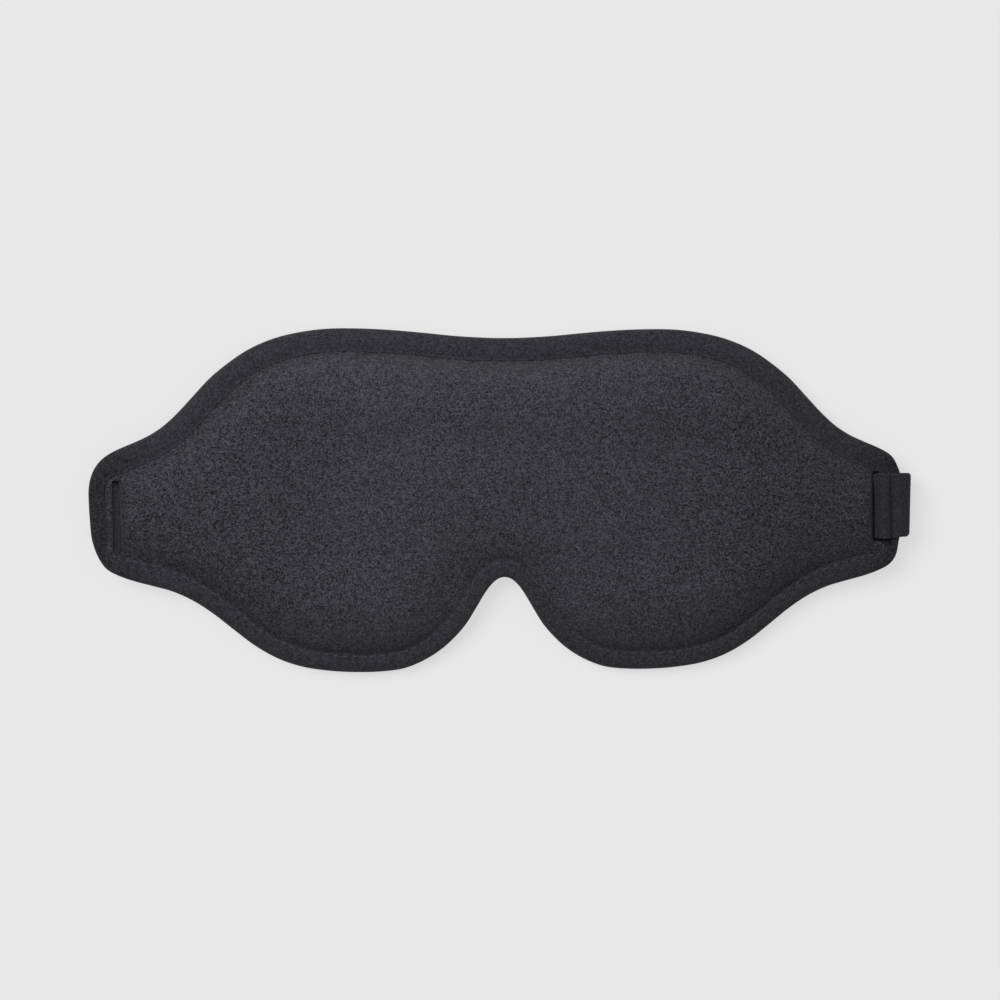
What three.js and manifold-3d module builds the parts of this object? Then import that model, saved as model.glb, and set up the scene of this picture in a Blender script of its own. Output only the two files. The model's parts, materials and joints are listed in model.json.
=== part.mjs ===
// Sleep eye mask: padded two-lobe mask with a bound edge, end tabs with slots,
// and an elastic head strap with a tri-glide slider.
// Millimetres, +Z up. The mask lies on its back face with the strap relaxed under it:
// X runs along the mask, +Y points to the forehead edge, +Z is the front (outer) face.
// Left is -X and right is +X.
// The origin is the centre of the flat forehead contact face of the lining.
import * as THREE from 'three';
import { mergeVertices } from 'three/addons/utils/BufferGeometryUtils.js';
import Module from 'manifold-3d';

const wasm = await Module();
wasm.setup();
const { clamp, degToRad, lerp, smoothstep } = THREE.MathUtils;

// ---------------------------------------------------------------- driving dimensions
const BROW_REST_Y = 33;        // forehead contact face centre above the eye line
const GAP = 0.3;               // clearance between neighbouring pieces

// visible binding widths
const BIND_BROW = 7.2;         // along the forehead edge
const BIND_CHEEK = 5.5;        // along the lower edge
const BIND_TAB = 6.4;          // where the lower edge meets the tabs
const BIND_END = 4.7;          // round the end tabs
const BIND_HALF = 1.75;        // half the folded binding's thickness
const BIND_WALL = 0.5;         // tape thickness

const COVER_T = 0.6;
const BLACKOUT_T = 0.3;
const LINING_T = 0.5;
const STIFFENER_T = 0.4;
const SEAM_IN = 2.0;           // raw edge of the sandwich inside the fold
const SEAM_HALF = BIND_HALF - BIND_WALL - GAP;   // half the sandwich inside the fold
const FLAT = 0.9;              // the sheets stay flat this far past the binding

const CHANNEL_Z = 6.6;         // ceiling of the strap channel in the back face
const CHANNEL_NOSE_Z = 6.3;    // the same at the nose
const CHANNEL_HALF = 21;
const CHANNEL_RAMP = 8;

const STRAP_HALF = 10;         // half the strap's width
const STRAP_T = 1.0;
const STRAP_Y = -3.6;          // strap centre line at the nose
const STRAP_SLOPE = Math.atan(2.4 / 230);
const SLOT_LEFT = [-116.4, -113.4];
const SLOT_RIGHT = [112.5, 114.9];
const SLOT_HALF = 10.8;        // half the slots' length in Y

// ---------------------------------------------------------------- outline
// Right half of the outer edge as [x, y], clockwise seen from +Z.
// Forehead edge, from the nose line out to the tab:
const BROW_EDGE = [
  [0, 48.40], [4, 48.44], [9, 48.66], [15, 49.06], [23, 49.84], [32, 50.62],
  [42, 51.12], [52, 51.05], [59, 50.25], [66, 48.75], [72, 46.6], [77, 44.0],
  [82, 40.5], [87, 36.3], [92, 30.9], [97, 25.5], [101, 21.9], [105, 19.3],
  [109, 17.4], [113, 15.8], [116, 14.4], [118.4, 12.9],
];
// Round the end tab:
const TAB_EDGE = [
  [120.5, 10.5], [121.7, 7.9], [122.3, 4.0], [122.25, -1],
  [121.95, -6], [121.5, -10.6], [120.8, -14.2], [119.3, -17.5],
];
// Cheek edge, back to the nose arch:
const CHEEK_EDGE = [
  [117, -19.9], [113.5, -21.8], [109, -23.4], [104, -24.75], [98, -26.5], [92, -29.3],
  [86, -33.3], [80, -38.1], [74, -42.7], [67, -46.7], [60, -49.1], [52, -50.4],
  [44, -50.9], [37, -50.8], [30, -49.95], [24, -47.6], [19, -44.5], [15, -40.95],
  [11.5, -36.9], [8.5, -32.1], [6, -27.9], [4, -25.2], [2, -23.45], [0, -22.9],
];
const rightHalf = [...BROW_EDGE, ...TAB_EDGE, ...CHEEK_EDGE];
const leftHalf = rightHalf.slice(1, -1).reverse().map(([x, y]) => [-x, y]);
const outer = [...rightHalf, ...leftHalf];
const COUNT = outer.length;

const inwardNormals = outer.map((_, i) => {
  const before = outer[(i + COUNT - 1) % COUNT];
  const after = outer[(i + 1) % COUNT];
  const dx = after[0] - before[0];
  const dy = after[1] - before[1];
  const length = Math.hypot(dx, dy);
  return [dy / length, -dx / length];
});

function offsetInward(distanceAt) {
  return outer.map((point, i) => {
    const distance = distanceAt(point);
    return point.map((value, axis) => value + inwardNormals[i][axis] * distance);
  });
}

function bindWidth([x, y]) {
  const lower = lerp(BIND_CHEEK, BIND_TAB, smoothstep(Math.abs(x), 85, 105));
  const side = y > -4 ? BIND_BROW : lower;
  return lerp(side, BIND_END, smoothstep(Math.abs(x), 111, 119.5));
}

const inner = offsetInward(bindWidth);           // inner edge of the binding
const rawEdge = offsetInward(() => SEAM_IN);     // cut edge of the sheets

// Y where the loop crosses the line at x: its highest or its lowest, null if it has none
function crossing(loop, x, highest) {
  let best = null;
  loop.forEach((a, i) => {
    const b = loop[(i + 1) % loop.length];
    if ((a[0] - x) * (b[0] - x) > 0 || a[0] === b[0]) return;
    const y = lerp(a[1], b[1], (x - a[0]) / (b[0] - a[0]));
    if (best === null || (highest ? y > best : y < best)) best = y;
  });
  return best;
}

function isInside(loop, x, y) {
  let odd = false;
  loop.forEach(([ax, ay], i) => {
    const [bx, by] = loop[(i + loop.length - 1) % loop.length];
    if ((ay > y) !== (by > y) && x < (bx - ax) * (y - ay) / (by - ay) + ax) odd = !odd;
  });
  return odd;
}

// distance from the loop for a point inside it, 0 outside
function depthInside(loop, x, y) {
  if (!isInside(loop, x, y)) return 0;
  return Math.min(...loop.map((a, i) => {
    const b = loop[(i + 1) % loop.length];
    const dx = b[0] - a[0];
    const dy = b[1] - a[1];
    const t = clamp(((x - a[0]) * dx + (y - a[1]) * dy) / (dx * dx + dy * dy), 0, 1);
    return Math.hypot(x - a[0] - dx * t, y - a[1] - dy * t);
  }));
}

// ---------------------------------------------------------------- pillow surfaces
// height of the bound edge's middle plane: the tabs and the nose arch lift
// because the strap passes under them
const EDGE = { base: 2.0, tabLift: 3.9, tabX: 122, noseLift: 2.6, noseSpread: 256 };
function edgeZ(x, y = 0) {
  const tab = EDGE.tabLift * Math.pow(Math.abs(x) / EDGE.tabX, 3);
  const nose = EDGE.noseLift * Math.exp(-x * x / EDGE.noseSpread) * smoothstep(-y, 2, 12);
  return EDGE.base + tab + nose;
}

const strapY = (x) => STRAP_Y + Math.tan(STRAP_SLOPE) * x;

const PILLOW = {
  crown: 12.6,                                     // front height above the table
  rise: 10, roundness: 2.4,                        // width and power of the rounded shoulder
  groove: { depth: 0.9, y: 14, spread: 60 },       // shallow groove running along X
  dish: { depth: 2.5, x: 50, radius: 17 },         // hollow in the front of each lobe
  endDrop: 2.2,                                    // crown lost towards the tabs
};
function frontZ(x, y) {
  const { crown, rise, roundness, groove, dish, endDrop } = PILLOW;
  const ax = Math.abs(x);
  const base = edgeZ(x, y) + SEAM_HALF;
  const depth = depthInside(inner, x, y) - FLAT;
  const grooveShare = Math.exp(-((y - groove.y) ** 2) / groove.spread)
    * (1 - smoothstep(ax, 40, 70));
  const dishShare = Math.exp(-((ax - dish.x) ** 2 + y * y) / (2 * dish.radius ** 2));
  const top = crown - groove.depth * grooveShare - dish.depth * dishShare
    - endDrop * smoothstep(ax, 78, 112);
  const shoulder = 1 - Math.pow(1 - clamp(depth / rise, 0, 1), roundness);
  return base + (top - base) * shoulder * (1 - smoothstep(ax, 105.2, 113.2));
}

// flat on the table, with the strap channel running along it
function backZ(x, y) {
  const ax = Math.abs(x);
  const base = edgeZ(x, y) - SEAM_HALF;
  const depth = depthInside(inner, x, y) - FLAT;
  const offCentre = Math.abs(y - strapY(x));
  const channel = 1 - smoothstep(offCentre, CHANNEL_HALF, CHANNEL_HALF + CHANNEL_RAMP);
  const target = lerp(CHANNEL_NOSE_Z, CHANNEL_Z, smoothstep(ax, 12, 24)) * channel;
  return base + (target - base) * clamp(depth / 2.5, 0, 1) * clamp((112.4 - ax) / 6, 0, 1);
}

// one shared grid, so that stacked sheets keep parallel facets and constant gaps
const HALF_COLUMNS = [0, 4, 9, 15, 23, 32, 42, 52, 62, 72, 82, 92, 101, 109, 115, 119.4];
const ROW_SHARES = [0, 0.09, 0.22, 0.4, 0.58, 0.76, 0.92, 1];   // across the padded part
const MIN_PADDED = 6;          // columns narrower than this use NARROW_SHARE instead
const NARROW_SHARE = 0.4;      // half the padded part as a share of the column
const columns = [...HALF_COLUMNS.slice(1).reverse().map((x) => -x), ...HALF_COLUMNS];
const LAST_COLUMN = columns.length - 1;
const LAST_ROW = ROW_SHARES.length + 1;

const grid = columns.map((x) => {
  const top = crossing(rawEdge, x, true);
  const bottom = crossing(rawEdge, x, false);
  let padTop = crossing(inner, x, true);
  let padBottom = crossing(inner, x, false);
  if (padTop === null || padTop - padBottom < MIN_PADDED) {
    const middle = (top + bottom) / 2;
    const half = (top - bottom) * NARROW_SHARE;
    padTop = middle + half;
    padBottom = middle - half;
  }
  const rows = ROW_SHARES.map((share) => [x, lerp(padBottom + FLAT, padTop - FLAT, share)]);
  return [[x, bottom], ...rows, [x, top]];
});
const frontHeights = grid.map((column) => column.map(([x, y]) => frontZ(x, y)));
const backHeights = grid.map((column, i) => column.map(([x, y], j) => {
  // the sheets always fit between the two faces
  const z = Math.min(backZ(x, y), frontHeights[i][j] - 2 * SEAM_HALF);
  return z < 0.02 ? 0 : z;
}));

// ---------------------------------------------------------------- geometry builders
function solid(positions, index) {
  const geometry = new THREE.BufferGeometry();
  geometry.setAttribute('position', new THREE.Float32BufferAttribute(positions, 3));
  geometry.setIndex(index);
  geometry.computeVertexNormals();
  return geometry;
}

const pushQuad = (index, a, b, c, d) => index.push(a, b, c, a, c, d);

// layer between two height functions of (column, row), over the columns from x = xMin
// to xMax, leaving out rowInset rows at both edges
function sheet(zTop, zBottom, { xMin = columns[0], xMax = -xMin, rowInset = 0 } = {}) {
  const i0 = columns.indexOf(xMin);
  const i1 = columns.indexOf(xMax);
  const j0 = rowInset;
  const j1 = LAST_ROW - rowInset;
  const rows = j1 - j0 + 1;
  const layer = (i1 - i0 + 1) * rows;
  const positions = [];
  const index = [];
  for (const z of [zTop, zBottom]) {
    for (let i = i0; i <= i1; i++) {
      for (let j = j0; j <= j1; j++) positions.push(...grid[i][j], z(i, j));
    }
  }
  const top = (i, j) => (i - i0) * rows + (j - j0);
  const low = (i, j) => top(i, j) + layer;
  for (let i = i0; i < i1; i++) {
    for (let j = j0; j < j1; j++) {
      pushQuad(index, top(i, j), top(i + 1, j), top(i + 1, j + 1), top(i, j + 1));
      pushQuad(index, low(i + 1, j + 1), low(i + 1, j), low(i, j), low(i, j + 1));
    }
  }
  for (let i = i0; i < i1; i++) {
    pushQuad(index, low(i, j0), low(i + 1, j0), top(i + 1, j0), top(i, j0));
    pushQuad(index, low(i + 1, j1), low(i, j1), top(i, j1), top(i + 1, j1));
  }
  for (let j = j0; j < j1; j++) {
    pushQuad(index, low(i0, j + 1), low(i0, j), top(i0, j), top(i0, j + 1));
    pushQuad(index, low(i1, j), low(i1, j + 1), top(i1, j + 1), top(i1, j));
  }
  return solid(positions, index);
}

// band swept along the edge between two outline points, closed when no ends are given;
// profile points are [share of the binding width, height over edgeZ]
function edgeBand(profile, from = 0, to = COUNT) {
  const size = profile.length;
  const closed = to - from === COUNT;
  const stations = closed ? COUNT : to - from + 1;
  const positions = [];
  const index = [];
  for (let i = 0; i < stations; i++) {
    const at = (from + i + COUNT) % COUNT;
    for (const [share, height] of profile) {
      const x = lerp(outer[at][0], inner[at][0], share);
      const y = lerp(outer[at][1], inner[at][1], share);
      positions.push(x, y, edgeZ(x, y) + height);
    }
  }
  for (let i = 0; i < (closed ? COUNT : stations - 1); i++) {
    const here = i * size;
    const next = ((i + 1) % stations) * size;
    for (let k = 0; k < size; k++) {
      const k2 = (k + 1) % size;
      pushQuad(index, next + k2, here + k2, here + k, next + k);
    }
  }
  if (!closed) {
    const end = (stations - 1) * size;
    for (let k = 1; k < size - 1; k++) index.push(0, k, k + 1, end, end + k + 1, end + k);
  }
  return solid(positions, index);
}

// strap of full width along a path of [x, z] points
function ribbon(path, thickness = STRAP_T) {
  const positions = [];
  const index = [];
  const last = path.length - 1;
  path.forEach(([x, z], i) => {
    const before = path[Math.max(0, i - 1)];
    const after = path[Math.min(last, i + 1)];
    const length = Math.hypot(after[0] - before[0], after[1] - before[1]);
    const dx = (after[0] - before[0]) / length;
    const dz = (after[1] - before[1]) / length;
    let mitre = 1;             // widens bends so that the thickness holds
    if (i > 0 && i < last) {
      const stepX = x - before[0];
      const stepZ = z - before[1];
      mitre = 1 / Math.max(0.6, (stepX * dx + stepZ * dz) / Math.hypot(stepX, stepZ));
    }
    const nx = -dz * thickness / 2 * mitre;
    const nz = dx * thickness / 2 * mitre;
    positions.push(x + nx, -STRAP_HALF, z + nz, x - nx, -STRAP_HALF, z - nz);
    positions.push(x - nx, STRAP_HALF, z - nz, x + nx, STRAP_HALF, z + nz);
  });
  for (let i = 0; i < last; i++) {
    for (let k = 0; k < 4; k++) {
      const a = i * 4 + k;
      const b = i * 4 + (k + 1) % 4;
      pushQuad(index, a, b, b + 4, a + 4);
    }
  }
  const end = last * 4;
  index.push(0, 2, 1, 0, 3, 2, end, end + 1, end + 2, end, end + 2, end + 3);
  return solid(positions, index);
}

// [x, z] points of an arc, angles in degrees
function arc(centreX, centreZ, radius, from, to, segments) {
  return Array.from({ length: segments + 1 }, (_, i) => {
    const angle = degToRad(lerp(from, to, i / segments));
    return [centreX + radius * Math.cos(angle), centreZ + radius * Math.sin(angle)];
  });
}

// box from its [min, max] along each axis
function box(...ranges) {
  const geometry = new THREE.BoxGeometry(...ranges.map(([min, max]) => max - min));
  return geometry.translate(...ranges.map(([min, max]) => (min + max) / 2));
}

// ---------------------------------------------------------------- booleans
function toManifold(source) {
  const bare = source.clone();
  bare.deleteAttribute('normal');
  bare.deleteAttribute('uv');
  const merged = mergeVertices(bare, 1e-4);
  return new wasm.Manifold(new wasm.Mesh({
    numProp: 3,
    vertProperties: new Float32Array(merged.attributes.position.array),
    triVerts: new Uint32Array(merged.index.array),
  }));
}

function fromManifold(manifold) {
  const result = manifold.getMesh();
  return solid(Array.from(result.vertProperties), Array.from(result.triVerts));
}

function cutSlots(geometry) {
  let body = toManifold(geometry);
  for (const slot of [SLOT_LEFT, SLOT_RIGHT]) {
    const y = strapY((slot[0] + slot[1]) / 2);
    body = body.subtract(toManifold(box(slot, [y - SLOT_HALF, y + SLOT_HALF], [-5, 20])));
  }
  return fromManifold(body);
}

const join = (...parts) => fromManifold(parts.map(toManifold).reduce((a, b) => a.add(b)));

// ---------------------------------------------------------------- scene graph
const FINISH = {
  heather: { color: 0x3b3a40, roughness: 0.95 },
  lining: { color: 0x28282c, roughness: 0.9 },
  blackout: { color: 0x101012, roughness: 0.8 },
  foam: { color: 0x4a4a4c, roughness: 1 },
  stiffener: { color: 0x2a2a2c, roughness: 0.9 },
  tape: { color: 0x35343a, roughness: 0.85 },
  thread: { color: 0x232226, roughness: 0.7 },
  label: { color: 0xd8d8d4, roughness: 0.8 },
  webbing: { color: 0x2c2b30, roughness: 0.85 },
  plastic: { color: 0x17171a, roughness: 0.4 },
};
const mask = new THREE.Group();
mask.position.y = -BROW_REST_Y;
const strap = new THREE.Group();          // the strap's own frame: x along the strap
strap.position.set(0, STRAP_Y, 0);
strap.rotation.z = STRAP_SLOPE;
mask.add(strap);

function add(parent, name, geometry, finish) {
  const mesh = new THREE.Mesh(geometry, new THREE.MeshStandardMaterial(finish));
  mesh.name = name;
  parent.add(mesh);
}

// ---------------------------------------------------------------- mask sheets
function addSheets() {
  const front = (drop) => (i, j) => frontHeights[i][j] - drop;
  const back = (lift) => (i, j) => backHeights[i][j] + lift;
  const blackoutZ = LINING_T + GAP;
  const coreZ = blackoutZ + BLACKOUT_T + GAP;
  const blackout = sheet(back(blackoutZ + BLACKOUT_T), back(blackoutZ));
  const foam = sheet(front(COVER_T + GAP), back(coreZ), { xMin: -92, rowInset: 2 });
  add(mask, 'front_cover', cutSlots(sheet(front(0), front(COVER_T))), FINISH.heather);
  add(mask, 'back_lining', cutSlots(sheet(back(LINING_T), back(0))), FINISH.lining);
  add(mask, 'blackout_sheet', cutSlots(blackout), FINISH.blackout);
  add(mask, 'foam_core', foam, FINISH.foam);
  for (const [side, xMin, xMax] of [['left', -109, -101], ['right', 101, 109]]) {
    const stiffener = sheet(back(coreZ + STIFFENER_T), back(coreZ), { xMin, xMax, rowInset: 3 });
    add(mask, `tab_stiffener_${side}`, stiffener, FINISH.stiffener);
  }
}

// ---------------------------------------------------------------- binding and label
function addBinding() {
  const half = BIND_HALF;
  const wall = half - BIND_WALL;
  add(mask, 'edge_binding', edgeBand([
    [0, -half * 0.55], [0.1, -half], [1, -half], [1, -wall], [0.13, -wall],
    [0.13, wall], [1, wall], [1, half], [0.1, half], [0, half * 0.55],
  ]), FINISH.tape);
}

function addBindingThreads() {
  const height = 0.25;
  const profile = (z) => [[0.82, z], [0.92, z], [0.92, z + height], [0.82, z + height]];
  const front = profile(BIND_HALF + GAP);
  const back = profile(-BIND_HALF - GAP - height);
  const browEnd = BROW_EDGE.length - 1;
  const cheekStart = BROW_EDGE.length + TAB_EDGE.length;
  const cheekEnd = COUNT - cheekStart;
  // the back thread runs all the way round except for the left tab
  for (const [side, section, from, to] of [
    ['brow', front, -browEnd, browEnd],
    ['cheek', front, cheekStart, cheekEnd],
    ['back', back, 1 - browEnd, cheekEnd - 1],
  ]) add(mask, `binding_thread_${side}`, edgeBand(section, from, to), FINISH.thread);
}

function addCareLabel() {
  const top = CHANNEL_Z - GAP;
  add(mask, 'care_label', box([-76, -54], [-9.5, 2.5], [top - 0.3, top]), FINISH.label);
}

// ---------------------------------------------------------------- strap
const Z_LEFT = 3.1;            // strap centre heights
const Z_MAIN = 4.4;
const Z_RETURN = 0.7;
const STRAP_CLEAR = STRAP_T / 2 + GAP;     // strap centre to a neighbouring face
const BARTACK_T = 0.3;
const SLIDER_X = 88;

function addWebbing(name, path, thickness) {
  add(strap, name, ribbon(path, thickness), FINISH.webbing);
}
const addRun = (name, from, to, z) => addWebbing(name, [[from, z], [to, z]]);

function addBartack(name, x0, x1, z0, z1 = z0 + BARTACK_T) {
  const half = STRAP_HALF - 1;
  add(strap, name, box([x0, x1], [-half, half], [z0, z1]), FINISH.thread);
}

// strap end under the left tab, and the runs to the sewn lap at the middle
function addLeftStrap() {
  const anchorZ = edgeZ(115.6) - BIND_HALF - STRAP_CLEAR;
  addRun('strap_left_anchor', -119.8, -115.4, anchorZ);
  addBartack('anchor_bartack', -119.6, -118.6, anchorZ - STRAP_CLEAR - BARTACK_T);
  addRun('strap_left_side', -112.2, -46, Z_LEFT);
  addRun('strap_left_turn', -45.6, -43.2, Z_LEFT);
  addRun('strap_left_back', -41, 12, Z_LEFT);
}

// up out of the right slot, over the tab's rim and back underneath
function addRightLoop() {
  const rimZ = edgeZ(119.5) + BIND_HALF + STRAP_CLEAR;
  const endX = 122.9 + STRAP_T / 2;
  const bend = 2.2;
  addWebbing('strap_right_loop', [
    [114.1, 5.4], [114.1, rimZ + 0.3], [114.5, rimZ + 0.8], [115.2, rimZ + 0.95],
    [117.2, rimZ + 0.9], [118.3, rimZ + 0.1], [119.4, rimZ],
    ...arc(endX - bend, rimZ - 2.0, bend, 80, 0, 4),
    [endX, 3.6],
    ...arc(endX - bend, Z_RETURN + bend, bend, 0, -90, 4),
    [118.6, Z_RETURN],
  ]);
}

function addRightStrap() {
  addRightLoop();
  addRun('strap_right_side', 108, 46, Z_MAIN);
  addRun('strap_right_turn', 45.6, 43.2, Z_MAIN);
  addRun('strap_right_back', 41, -12, Z_MAIN);
  addRun('strap_right_return', 113.5, SLIDER_X + 6.2, Z_RETURN);
}

function addLapBartacks() {
  addBartack('lap_bartack_left', 9, 10, Z_LEFT - STRAP_CLEAR - BARTACK_T);
  addBartack('lap_bartack_right', -10, -9, Z_MAIN + STRAP_CLEAR);
}

// tri-glide slider: side rails outside the strap, outer bars over the main strand,
// centre bar in the sewn fold
const CENTRE_BAR_Z = [1.4, 2.3];
function addSliderFrame() {
  const x0 = SLIDER_X - 7.5;
  const x1 = SLIDER_X + 7.5;
  const halfWidth = 11.8;
  const railInner = STRAP_HALF + 0.4;
  const barWidth = 2;
  const centreHalf = 1.1;
  const barBottom = Z_MAIN + STRAP_CLEAR;
  const top = barBottom + 0.8;
  const railZ = [CENTRE_BAR_Z[0], top];
  const across = [-halfWidth, halfWidth];
  add(strap, 'slider_frame', join(
    box([x0, x1], [railInner, halfWidth], railZ),
    box([x0, x1], [-halfWidth, -railInner], railZ),
    box([x0, x0 + barWidth], across, [barBottom, top]),
    box([x1 - barWidth, x1], across, [barBottom, top]),
    box([SLIDER_X - centreHalf, SLIDER_X + centreHalf], across, CENTRE_BAR_Z),
  ), FINISH.plastic);
}

function addSliderFold() {
  const barZ = (CENTRE_BAR_Z[0] + CENTRE_BAR_Z[1]) / 2;
  const radius = 1.23;
  const low = barZ - radius;
  const high = barZ + radius;
  addWebbing('slider_strap_fold', [
    [SLIDER_X + 5.6, low], [SLIDER_X + 0.6, low],
    ...arc(SLIDER_X - 0.4, barZ, radius, -90, -270, 6),
    [SLIDER_X + 0.6, high], [SLIDER_X + 4.6, high],
  ], 0.75);
  addBartack('slider_bartack', SLIDER_X + 2.6, SLIDER_X + 3.4, 1.3, 2.4);
}

addSheets();
addBinding();
addBindingThreads();
addCareLabel();
addLeftStrap();
addRightStrap();
addLapBartacks();
addSliderFrame();
addSliderFold();

export default mask;
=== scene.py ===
import json
import math

import bmesh
import bpy
import numpy as np
from mathutils import Matrix, Vector

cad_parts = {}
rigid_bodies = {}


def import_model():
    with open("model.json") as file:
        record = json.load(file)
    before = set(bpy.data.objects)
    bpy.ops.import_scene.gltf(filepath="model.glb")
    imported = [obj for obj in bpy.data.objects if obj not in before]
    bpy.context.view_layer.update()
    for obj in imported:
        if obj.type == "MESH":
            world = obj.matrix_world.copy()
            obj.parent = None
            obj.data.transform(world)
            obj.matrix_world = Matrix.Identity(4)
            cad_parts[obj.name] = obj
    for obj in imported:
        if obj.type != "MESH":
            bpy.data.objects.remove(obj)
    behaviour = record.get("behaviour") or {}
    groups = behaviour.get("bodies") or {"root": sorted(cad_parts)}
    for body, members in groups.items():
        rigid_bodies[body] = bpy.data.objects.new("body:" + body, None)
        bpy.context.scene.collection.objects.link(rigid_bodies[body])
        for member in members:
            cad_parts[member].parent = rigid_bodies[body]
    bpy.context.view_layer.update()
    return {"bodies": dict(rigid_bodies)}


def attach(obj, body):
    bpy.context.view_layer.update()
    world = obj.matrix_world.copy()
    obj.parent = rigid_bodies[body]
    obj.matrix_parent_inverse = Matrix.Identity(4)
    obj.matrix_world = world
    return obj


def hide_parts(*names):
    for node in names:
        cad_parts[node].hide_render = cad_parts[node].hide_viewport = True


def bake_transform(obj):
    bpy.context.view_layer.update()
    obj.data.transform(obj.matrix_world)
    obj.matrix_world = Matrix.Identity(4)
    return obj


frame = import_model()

rng = np.random.default_rng(20240611)
MM = 0.001
Y0 = 33.0                      # eye line is 33 mm below the row origin (the brow contact face)

# ------------------------------------------------------------------ outline, millimetres from the nose point
TOP = [[0, 48.40], [4, 48.44], [9, 48.66], [15, 49.06], [23, 49.84], [32, 50.62], [42, 51.12], [52, 51.05], [59, 50.25], [66, 48.75], [72, 46.6], [77, 44.0], [82, 40.5], [87, 36.3], [92, 30.9], [97, 25.5], [101, 21.9], [105, 19.3], [109, 17.4], [113, 15.7], [116, 14.2], [118.2, 12.7]]
END = [[120.2, 10.4], [121.5, 7.8], [122.3, 4.0], [122.25, -1], [121.95, -6], [121.5, -10.6], [120.5, -14.2], [119.0, -17.4]]
BOTTOM = [[117, -19.9], [113.5, -21.8], [109, -23.4], [104, -24.75], [98, -26.5], [92, -29.3], [86, -33.3], [80, -38.1], [74, -42.7], [67, -46.7], [60, -49.1], [52, -50.4], [44, -50.9], [37, -50.8], [30, -49.95], [24, -47.6], [19, -44.5], [15, -40.95], [11.5, -36.9], [8.5, -32.1], [6, -27.9], [4, -25.2], [2, -23.45], [0, -22.9]]
half = np.array(TOP + END + BOTTOM, float)
loop0 = np.vstack([half, (half[1:-1] * [-1, 1])[::-1]])


def closed_spline(p, n):
    """n points evenly spaced along a centripetal Catmull-Rom loop through p."""
    m = len(p)
    out = []
    for i in range(m):
        p0, p1, p2, p3 = p[(i - 1) % m], p[i], p[(i + 1) % m], p[(i + 2) % m]
        t0 = 0.0
        t1 = t0 + np.linalg.norm(p1 - p0) ** 0.5
        t2 = t1 + np.linalg.norm(p2 - p1) ** 0.5
        t3 = t2 + np.linalg.norm(p3 - p2) ** 0.5
        t = np.linspace(t1, t2, 40, endpoint=False)[:, None]
        a1 = (t1 - t) / (t1 - t0) * p0 + (t - t0) / (t1 - t0) * p1
        a2 = (t2 - t) / (t2 - t1) * p1 + (t - t1) / (t2 - t1) * p2
        a3 = (t3 - t) / (t3 - t2) * p2 + (t - t2) / (t3 - t2) * p3
        b1 = (t2 - t) / (t2 - t0) * a1 + (t - t0) / (t2 - t0) * a2
        b2 = (t3 - t) / (t3 - t1) * a2 + (t - t1) / (t3 - t1) * a3
        out.append((t2 - t) / (t2 - t1) * b1 + (t - t1) / (t2 - t1) * b2)
    q = np.vstack(out)
    return even(q, n)


def even(q, n):
    c = np.vstack([q, q[:1]])
    s = np.concatenate([[0], np.cumsum(np.linalg.norm(np.diff(c, axis=0), axis=1))])
    u = np.linspace(0, s[-1], n, endpoint=False)
    return np.column_stack([np.interp(u, s, c[:, k]) for k in range(c.shape[1])])


def ring_smooth(a, sigma):
    n = len(a)
    k = np.fft.fftfreq(n) * 2 * np.pi
    g = np.exp(-0.5 * (k * sigma) ** 2)
    f = np.fft.fft(a, axis=0)
    return np.real(np.fft.ifft(f * (g[:, None] if a.ndim > 1 else g), axis=0))


NL = 1500
outer = ring_smooth(closed_spline(loop0, NL), 1.6)
# the strap drawn over the right end presses the rim in a little
dent = np.clip((outer[:, 0] - 111) / 9, 0, 1) * np.clip((16.5 - np.abs(outer[:, 1] + 1.8)) / 6.0, 0, 1)
dent = dent * dent * (3 - 2 * dent)
outer[:, 0] -= 1.25 * ring_smooth(dent, 4)
PERIM = np.linalg.norm(np.diff(np.vstack([outer, outer[:1]]), axis=0), axis=1).sum()
STEP = PERIM / NL


def sm(t):
    t = np.clip(t, 0, 1)
    return t * t * (3 - 2 * t)


def bind_width(p):
    x, y = np.abs(p[:, 0]), p[:, 1]
    cheek = 5.5 + (6.4 - 5.5) * sm((x - 85) / 20)
    side = cheek + (7.2 - cheek) * sm((y + 8) / 8)
    top_end = side + (4.7 - side) * sm((x - 117.4) / 4.2)
    low_end = side + (4.4 - side) * sm((x - 112) / 7)
    return low_end + (top_end - low_end) * sm((y + 4) / 8)


tang = np.roll(outer, -1, 0) - np.roll(outer, 1, 0)
tang /= np.linalg.norm(tang, axis=1)[:, None]
norm_in = np.column_stack([tang[:, 1], -tang[:, 0]])
width = ring_smooth(bind_width(outer), 8)
inner = outer + norm_in * width[:, None]


def edge_z(x, y):
    return 2.0 + 3.9 * (np.abs(x) / 122) ** 3 + 2.6 * np.exp(-x * x / 256) * sm((-y - 2) / 10)


def untangle(loop):
    """drops the small knots an inward offset can make at tight corners."""
    keep = np.ones(len(loop), bool)
    d = np.roll(loop, -1, 0) - loop
    keep &= (d * tang).sum(1) > 0
    return keep


def crossings(loop, x, top):
    """highest or lowest crossing of a vertical line with the loop, for each x."""
    a, b = loop, np.roll(loop, -1, 0)
    out = np.full(len(x), np.nan)
    for i, xi in enumerate(x):
        m = ((a[:, 0] <= xi) & (b[:, 0] > xi)) | ((a[:, 0] > xi) & (b[:, 0] <= xi))
        if m.any():
            t = (xi - a[m, 0]) / (b[m, 0] - a[m, 0])
            y = a[m, 1] + t * (b[m, 1] - a[m, 1])
            out[i] = y.max() if top else y.min()
    return out


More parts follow.
